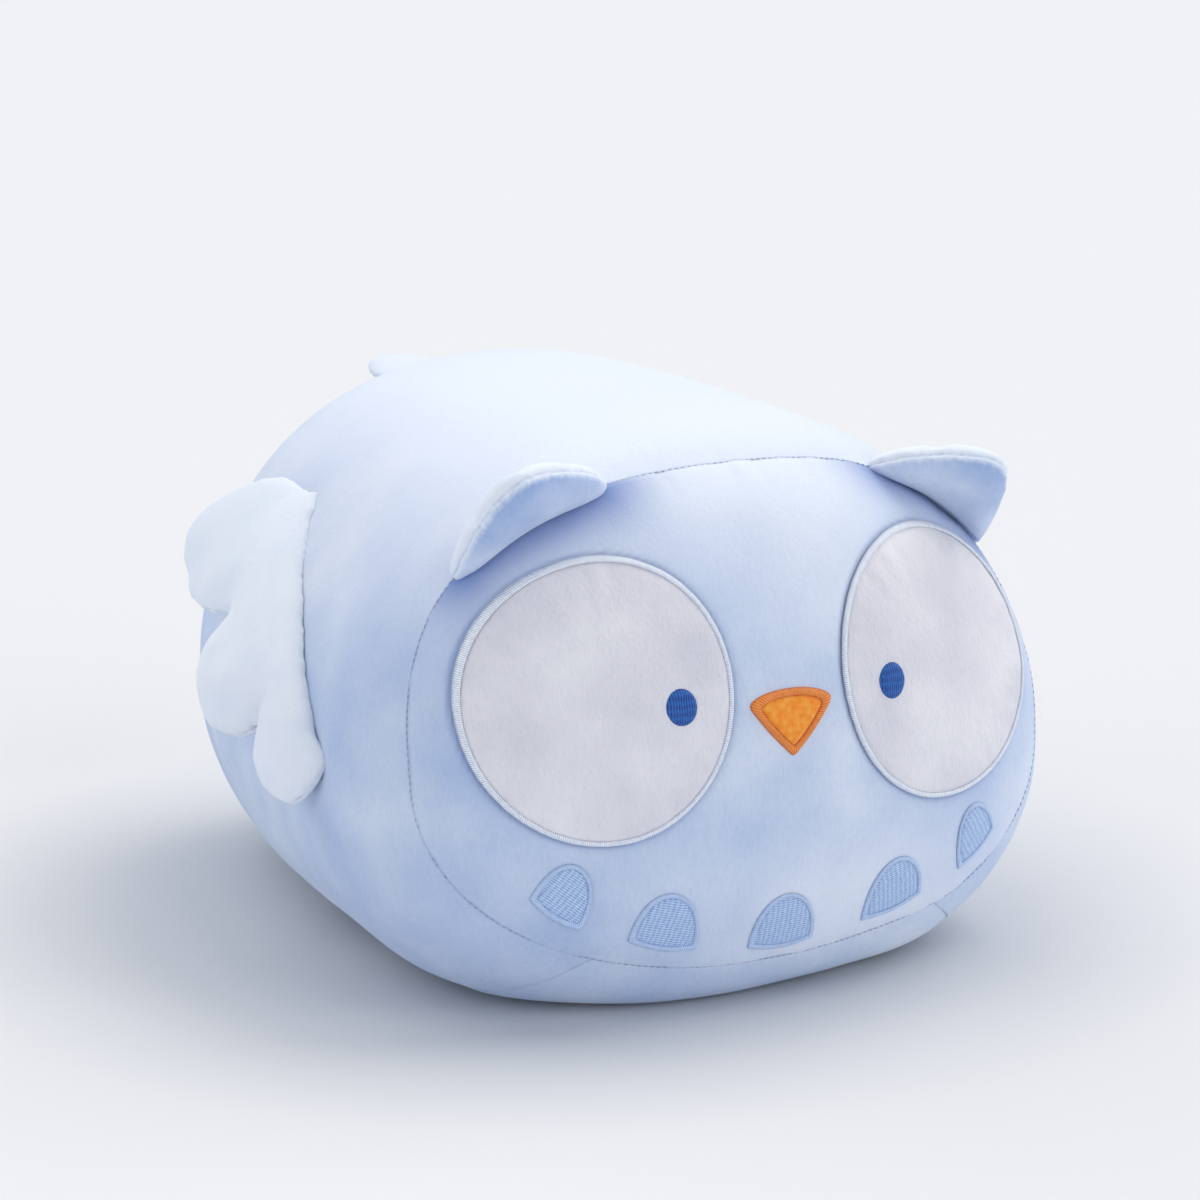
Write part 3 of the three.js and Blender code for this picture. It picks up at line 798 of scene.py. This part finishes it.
class Flap:
    """The sewing pattern of a flap: the seam that it is caught in, the way it leaves that
    seam, and its cut edge. The pattern starts with an allowance inside the seam."""

    allowance = 0.003

    def __init__(self, root, across, reach, edge):
        self.root, self.across, self.reach = root, across, reach
        self.chord = root(1) - root(0)
        self.width = self.chord.length
        self.normal = across.cross(self.chord).normalized()
        first = round(edge[0][0]) * self.width
        self.feet = Vector((first, -self.allowance)), Vector((self.width - first, -self.allowance))
        self.outline = smooth_line([Vector((a * self.width, o * reach)) for a, o in edge], 4)
        self.free_edge = [self.feet[0], *self.outline, self.feet[1]]

    def at(self, along):
        """The point of the seam at a share of its length, run on straight past its ends."""
        held = max(0.0, min(1.0, along))
        return self.root(held) + self.chord * (along - held)

    def point(self, place, height):
        return self.at(place.x / self.width) + self.across * place.y + self.normal * height

    def laid_flat(self, point):
        """The place of a point on the flat pattern, and its height over the middle."""
        along = 0.5
        for _ in range(3):
            off = point - self.at(along)
            along += off.dot(self.chord) / self.chord.length_squared
        off = point - self.at(along)
        return Vector((along * self.width, off.dot(self.across))), off.dot(self.normal)

    def sewn(self, rows, puff, rim, front=1.0):
        """Both layers as one closed form, thin all round the sewn edge. A fuller front takes
        more of the filling."""
        form = bmesh.new()
        steps = len(self.outline) - 1
        bmesh.ops.create_grid(form, x_segments=steps, y_segments=2 * rows, size=1)
        for vert in form.verts:
            column = round((vert.co.x + 1) / 2 * steps)
            side = 1 if vert.co.y >= 0 else -1
            out = 1 - abs(vert.co.y)
            out = out * (2 - out) if out < 1 else 1.0
            place = self.feet[0].lerp(self.feet[1], column / steps).lerp(self.outline[column], out)
            free = min(line_distance(place, self.free_edge)[0], place.y + self.allowance)
            height = puff * math.sqrt(max(0.0, 1 - max(0.0, 1 - free / rim) ** 2))
            vert.co = self.point(place, height * front if side > 0 else -height)
        bmesh.ops.remove_doubles(form, verts=form.verts, dist=2e-5)
        return form


def beside_body(point, gap=0.0006):
    """Moves a point out to the skin of the body where it lies inside."""
    y = point.y - waist_y
    station = y / (nose_reach if y < 0 else rump_reach)
    size = swell(station)
    if size < 1e-6:
        return point
    level = point.z - waist_level
    upper = level > 0
    power = crown_round if upper else keel_round
    width = (half_width - flare * y) * size
    height = (crown_height + rise * y if upper else keel_depth) * size
    out = (abs(point.x / width) ** power + abs(level / height) ** power) ** (1 / power)
    least = 1 + gap / width
    if out >= least:
        return point
    return Vector((point.x * least / out, point.y, waist_level + level * least / out))


def applied(piece):
    """The piece's mesh as its modifiers make it."""
    depsgraph = bpy.context.evaluated_depsgraph_get()
    return bpy.data.meshes.new_from_object(piece.evaluated_get(depsgraph))


in_plane = 0.35


def stuffed(name, flap, form, cell, pressure, give, swell_by=(1.0, 1.0)):
    """Fills a sewn flap. The fibre presses the cloth out while the seam holds it, and each
    point gives way only so far. Attributes keep where the cloth lay on the flat pattern."""
    mesh = bpy.data.meshes.new(name)
    bmesh.ops.recalc_face_normals(form, faces=form.faces)
    form.to_mesh(mesh)
    form.free()
    pad = bpy.data.objects.new(name, mesh)
    bpy.context.collection.objects.link(pad)
    remesh = pad.modifiers.new("cloth cells", "REMESH")
    remesh.mode, remesh.voxel_size = "VOXEL", cell
    pad.data = applied(pad)
    pad.modifiers.clear()
    start = [vert.co.copy() for vert in pad.data.vertices]
    lies = [flap.laid_flat(point) for point in start]
    sewn, height = (pad.data.attributes.new(key, "FLOAT", "POINT") for key in ("sewn", "height"))
    pattern = pad.data.attributes.new("pattern", "FLOAT_VECTOR", "POINT")
    for i, (place, lift) in enumerate(lies):
        free = line_distance(place, flap.free_edge)[0]
        sewn.data[i].value = math.hypot(free, lift)
        height.data[i].value = lift
        pattern.data[i].vector = (place.x, place.y, lift)
    held = pad.vertex_groups.new(name="held")
    held.add([i for i, (place, _) in enumerate(lies) if place.y < 0.0006], 1.0, "REPLACE")
    cloth = pad.modifiers.new("filling", "CLOTH").settings
    cloth.effector_weights.gravity = 0
    cloth.quality, cloth.mass = 6, 0.12
    cloth.bending_stiffness = 1.5
    cloth.use_pressure, cloth.uniform_pressure_force = True, pressure
    cloth.vertex_group_mass = "held"
    for step in range(1, 21):
        bpy.context.scene.frame_set(step)
    blown = applied(pad)
    pad.modifiers.clear()
    bpy.context.scene.frame_set(1)
    settled_cloth = bmesh.new()
    settled_cloth.from_mesh(pad.data)
    for vert, first, (_, lift), full in zip(settled_cloth.verts, start, lies, blown.vertices):
        move = full.co - first
        most = give * (swell_by[0] if lift > 0 else swell_by[1])
        if move.length > 1e-9:
            move *= most * math.tanh(move.length / most) / move.length
        puffed = flap.normal * move.dot(flap.normal)
        vert.co = first + puffed + (move - puffed) * in_plane
    near_seam = [vert for vert, (place, _) in zip(settled_cloth.verts, lies) if place.y < 0.009]
    for verts, times in ((settled_cloth.verts, 5), (near_seam, 10)):
        before = [vert.co.copy() for vert in verts]
        for _ in range(times):
            bmesh.ops.smooth_vert(settled_cloth, verts=verts, factor=0.5,
                                  use_axis_x=True, use_axis_y=True, use_axis_z=True)
        for vert, first in zip(verts, before):
            along = lies[vert.index][0].x / flap.width
            move = vert.co - first
            level = flap.normal * move.dot(flap.normal)
            vert.co = first + level + (move - level) * (1.0 if 0.1 < along < 0.9 else in_plane)
    for vert, (place, _) in zip(settled_cloth.verts, lies):
        clear = max(0.0, min(1.0, place.y / flap.allowance))
        vert.co = vert.co.lerp(beside_body(vert.co), clear)
    settled_cloth.to_mesh(pad.data)
    settled_cloth.free()
    return pad


def sewn_round(pad, flap, material, depth, creases=(), pressed_and_painted_shade=0.0032):
    """Draws the edge seam in and presses the creases, then finishes the left-hand piece."""
    smooth = pad.modifiers.new("smooth", "SUBSURF")
    smooth.levels = smooth.render_levels = 1
    mesh = applied(pad)
    pad.modifiers.clear()
    pad.data = mesh
    lines = [[Vector((a * flap.width, o * flap.reach)) for a, o in crease] for crease in creases]
    normals = [Vector(normal.vector) for normal in mesh.vertex_normals]
    for vert, normal, sewn, pattern in zip(
            mesh.vertices, normals, mesh.attributes["sewn"].data, mesh.attributes["pattern"].data):
        x, y, lift = pattern.vector
        around = Vector((x, y, 0)) * 230
        pucker = 1 + 0.9 * noise.noise(around)
        inset = depth * math.exp(-((sewn.value / 0.0013) ** 2)) * pucker
        gathers = max(0.0, noise.noise(around * 0.6))
        inset += depth * 0.7 * math.exp(-((sewn.value / 0.005) ** 2)) * gathers
        for line in lines:
            distance, along = line_distance(Vector((x, y)), line)
            if lift > 0:
                inset += pressed_and_painted_shade * (1 - along) ** 0.7 * math.exp(-((distance / 0.0028) ** 2))
        vert.co -= normal * inset
    mesh.materials.clear()
    mesh.materials.append(material)
    for polygon in mesh.polygons:
        polygon.use_smooth = True
    return pad


def other_side(pad, name):
    """The same piece, sewn for the right-hand side."""
    mesh = pad.data.copy()
    mesh.transform(Matrix.Diagonal((-1, 1, 1, 1)))
    mesh.flip_normals()
    piece = bpy.data.objects.new(name, mesh)
    bpy.context.collection.objects.link(piece)
    return piece


def outward_at(angle, station):
    """The direction straight out of the skin."""
    probe = 1e-3
    around = bare_body(angle + probe, station) - bare_body(angle - probe, station)
    onward = bare_body(angle, station + probe) - bare_body(angle, station - probe)
    return onward.cross(around).normalized()


def flap_finish(name, light, deep, painted_top_shading, under=None, under_mottle_and_painted_shade=None):
    """Short-pile plush with painted shading towards the top of the toy, and a darker stitched line
    round the sewn edge. A second cloth on the underside is fluffed white along the edge and
    carries a painted shade that deepens away from the seam that holds the flap."""
    material, place = finish(name, {
        "Roughness": 0.92, "Specular IOR Level": 0.2, "Sheen Weight": 0.2, "Sheen Roughness": 0.45})
    shade, relief = brushed_pile(place, 40.0, 0.35)
    # Painted shading: towards the top of the toy the colour turns to the top colour, which is
    # darker than the cloth for the wing and ears.
    level = place.node("SeparateXYZ", {0: place}, out=2)
    cloth = (level * 14).limited(-1.6).blend(shade.blend(deep, light), painted_top_shading)
    sewn = place.node("Attribute", {}, out=2, attribute_name="sewn")
    if under:
        pattern = place.node("Attribute", {}, out=1, attribute_name="pattern")
        out = place.node("SeparateXYZ", {0: pattern}, out=1)
        # Painted shade on the underside cloth: darker away from the seam, lighter towards it.
        under_with_painted_shade = (shade * 0.8 + 0.5 - (out * 30).limited(-0.2) * 0.9).limited(0.0)
        under_with_painted_shade = under_with_painted_shade.blend(under_mottle_and_painted_shade, under)
        fluff = (1.25 - sewn * 320 + (relief - 0.65) * 0.9).limited(0.0)
        lift = place.node("Attribute", {}, out=2, attribute_name="height")
        cloth = (lift * 1600.0).limited(0.5).blend(fluff.blend(under_with_painted_shade, dyed(238, 241, 246)), cloth)
    stitches = (1 - sewn * 900.0).limited(0.0) * 0.5
    stitches.blend(cloth, dyed(150, 168, 206)).feeds("Base Color")
    place.node("Bump", {"Height": relief, "Distance": 0.0005, "Strength": 0.6}).feeds("Normal")
    return material


wing_chord = (wing_slit(1) - wing_slit(0)).normalized()
middle_y = (wing_ends[0] + wing_ends[1]) / 2
wing_out = outward_at(sum(wing_angles) / 2, middle_y / (nose_reach if middle_y < 0 else rump_reach))
wing_out = (wing_out - wing_chord * wing_out.dot(wing_chord)).normalized()
wing_across = wing_chord.cross(wing_out) * math.cos(wing_lift) + wing_out * math.sin(wing_lift)
white_flap_finish = flap_finish("white wing plush", dyed(248, 247, 247), dyed(229, 232, 239),
                                painted_top_shading=dyed(236, 239, 243))

wing = Flap(wing_slit, wing_across, wing_reach, wing_edge)
form = wing.sewn(rows=14, puff=0.0055, rim=0.015)
wing_left = stuffed("wing_plush_left", wing, form, cell=0.0025, pressure=6, give=0.0045)
sewn_round(wing_left, wing, white_flap_finish, depth=0.0012, creases=wing_creases)
wing_right = other_side(wing_left, "wing_plush_right")

for piece, side_name, side in ((wing_left, "left", 1), (wing_right, "right", -1)):
    parts = ("outer_panel", "inner_panel", "stuffing")
    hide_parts(*[f"wing_{side_name}_{part}" for part in parts])
    turn = Vector((side, 1, 1))
    start, end = wing_slit(0.5) * turn, (wing_slit(0.5) + wing_across * 0.014) * turn
    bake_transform(piece)
    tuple(start)
    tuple(end)


# Ears: a blue front and a white back, sewn round a rounded edge, turned and filled full. They
# are caught in the top corners of the face seam and lean forward over the eyes.

ear_reach = {"left": 0.0350, "right": 0.0370}
ear_lean = {"left": 57.0, "right": 49.5}
ear_edge = [
    (0.0, 0.08), (0.04, 0.32), (0.11, 0.55), (0.20, 0.77), (0.30, 0.95), (0.40, 1.07), (0.49, 1.11),
    (0.58, 1.06), (0.67, 0.93), (0.77, 0.72), (0.87, 0.46), (0.95, 0.22), (1.0, 0.07),
]
ear_dimples = [
    [(0.20, 0.62), (0.27, 0.50)], [(0.47, 0.92), (0.48, 0.78)], [(0.80, 0.60), (0.75, 0.45)],
]
ear_finish = flap_finish("ear plush", dyed(245, 245, 246), dyed(226, 230, 238), dyed(238, 240, 244),
                         under=dyed(220, 227, 240), under_mottle_and_painted_shade=dyed(146, 170, 210))

for side_name, side in (("left", 1), ("right", -1)):

    def ear_root(share):
        first, last = map(math.radians, ear_feet[side_name])
        angle = first + (last - first) * share
        return bare_body(angle, seam_station(angle))

    ear_chord = (ear_root(1) - ear_root(0)).normalized()
    ear_front = Vector((0, -1, 0))
    ear_front = (ear_front - ear_chord * ear_front.dot(ear_chord)).normalized()
    ear_up = ear_chord.cross(ear_front).normalized()
    if ear_up.z < 0:
        ear_up = -ear_up
    lean = math.radians(ear_lean[side_name])
    ear_across = ear_up * math.cos(lean) + ear_front * math.sin(lean)

    ear = Flap(ear_root, ear_across, ear_reach[side_name], ear_edge)
    form = ear.sewn(rows=12, puff=0.0076, rim=0.013, front=1.12)
    pad = stuffed(f"ear_plush_{side_name}", ear, form, cell=0.0018, pressure=45, give=0.0050,
                  swell_by=(1.15, 1.1))
    sewn_round(pad, ear, ear_finish, depth=0.0011, creases=ear_dimples, pressed_and_painted_shade=0.0018)
    if side < 0:
        pad.data.transform(Matrix.Diagonal((-1, 1, 1, 1)))
        pad.data.flip_normals()
    parts = ("front_panel", "back_panel", "stuffing")
    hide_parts(*[f"ear_{side_name}_{part}" for part in parts])
    turn = Vector((side, 1, 1))
    start, end = ear_root(0.5) * turn, (ear_root(0.5) + ear_across * 0.010) * turn
    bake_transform(pad)
    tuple(start)
    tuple(end)


# Tail: a short rounded tab of white plush over a little filling, caught in the top of the
# rump seam.

tail_reach = 0.052
tail_angles = (math.radians(79), math.radians(101))
tail_droop = math.radians(-1)
tail_edge = [
    (0.02, 0.3), (0.08, 0.6), (0.22, 0.86), (0.4, 0.98), (0.6, 0.98), (0.78, 0.86),
    (0.92, 0.6), (0.98, 0.3),
]


def tail_root(share):
    return bare_body(tail_angles[0] + (tail_angles[1] - tail_angles[0]) * share, rump_station)


tail_across = Vector((0, math.cos(tail_droop), -math.sin(tail_droop)))
tail = Flap(tail_root, tail_across, tail_reach, tail_edge)
form = tail.sewn(rows=12, puff=0.0034, rim=0.011)
tail_tab = stuffed("tail_plush", tail, form, cell=0.0019, pressure=9, give=0.0028)
tail_finish = flap_finish("white tail plush", dyed(230, 232, 237), dyed(212, 217, 226),
                          painted_top_shading=dyed(230, 234, 241))
sewn_round(tail_tab, tail, tail_finish, depth=0.0011)
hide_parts("tail_upper_panel", "tail_under_panel", "tail_stuffing")
tail_root(0.5)
tail_root(0.5) + tail_across * 0.010
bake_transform(tail_tab)


# Studio: a pale floor that runs out of sight, with a painted shadow round the toy where the camera
# sees it, five broad soft lights of which the strongest are high behind, high on the right and in
# front, and the camera where the photograph was taken.

floor_mesh = bmesh.new()
bmesh.ops.create_grid(floor_mesh, x_segments=2, y_segments=2, size=14)
material = bpy.data.materials.new("studio floor")
material.use_nodes = True
tree = material.node_tree
path = Dye(tree, tree.nodes.new("ShaderNodeLightPath").outputs["Is Camera Ray"])
place = path.node("TexCoord", {}, out="Object")
# Painted shadow: as the camera sees it, the floor is darker near the toy, out to about 0.29 m.
out_of_painted_shadow = (place.node("VectorMath", {0: place}, out=1, operation="LENGTH") - 0.165) * 8
seen = out_of_painted_shadow.limited(0.0).blend((0.68, 0.675, 0.68, 1), (0.80, 0.775, 0.75, 1))
paint = path.node("BsdfDiffuse", {"Color": path.blend((0.74, 0.77, 0.82, 1), seen)})
tree.links.new(paint.socket, tree.nodes["Material Output"].inputs["Surface"])
floor = finished("studio_floor", floor_mesh, material, subdivisions=0)

world = bpy.data.worlds.new("studio air")
bpy.context.scene.world = world
world.use_nodes = True
sky = world.node_tree
sky.nodes["Background"].inputs["Strength"].default_value = 1.0
seen = Dye(sky, sky.nodes.new("ShaderNodeLightPath").outputs["Is Camera Ray"])
air = seen.blend((0.005, 0.06, 0.145, 1), (0.90, 0.905, 0.92, 1))
sky.links.new(air.socket, sky.nodes["Background"].inputs["Color"])


def soft_light(name, towards, power, colour, spread):
    """A broad light far off, in a direction from the object, with a soft edge."""
    light = bpy.data.lights.new(name, "SUN")
    light.energy, light.color, light.angle = power, colour, math.radians(spread)
    piece = bpy.data.objects.new(name, light)
    bpy.context.collection.objects.link(piece)
    piece.rotation_mode = "QUATERNION"
    piece.rotation_quaternion = Vector(towards).to_track_quat("Z", "Y")


soft_light("high behind", (-0.2, 0.8, 1), 1.45, (1.0, 0.995, 0.985), 70)
soft_light("high right", (0.85, 0.1, 1), 1.55, (1.0, 0.995, 0.99), 50)
soft_light("overhead", (0, 0, 1), 0.4, (1.0, 1.0, 1.0), 80)
soft_light("front", (0.45, -1, 0.3), 1.4, (1.0, 1.0, 1.0), 60)
soft_light("low left", (-1, -0.1, 0.35), 0.95, (1.0, 1.0, 1.0), 60)

azimuth, elevation, roll = map(math.radians, (-27.013, 12.499, -0.268))
back = Vector((math.sin(azimuth) * math.cos(elevation), -math.cos(azimuth) * math.cos(elevation),
               math.sin(elevation)))
right = Vector((math.cos(azimuth), math.sin(azimuth), 0))
up = back.cross(right)
right, up = (right * math.cos(roll) + up * math.sin(roll),
             up * math.cos(roll) - right * math.sin(roll))
camera = bpy.data.cameras.new("photo camera")
camera.lens, camera.sensor_width = 103.53, 36
viewer = bpy.data.objects.new("photo camera", camera)
bpy.context.collection.objects.link(viewer)
turned = Matrix((right, up, back)).transposed().to_4x4()
viewer.matrix_world = Matrix.Translation((-0.6338, -1.26995, 0.4402)) @ turned
bpy.context.scene.camera = viewer
bpy.context.scene.view_settings.view_transform = "Standard"
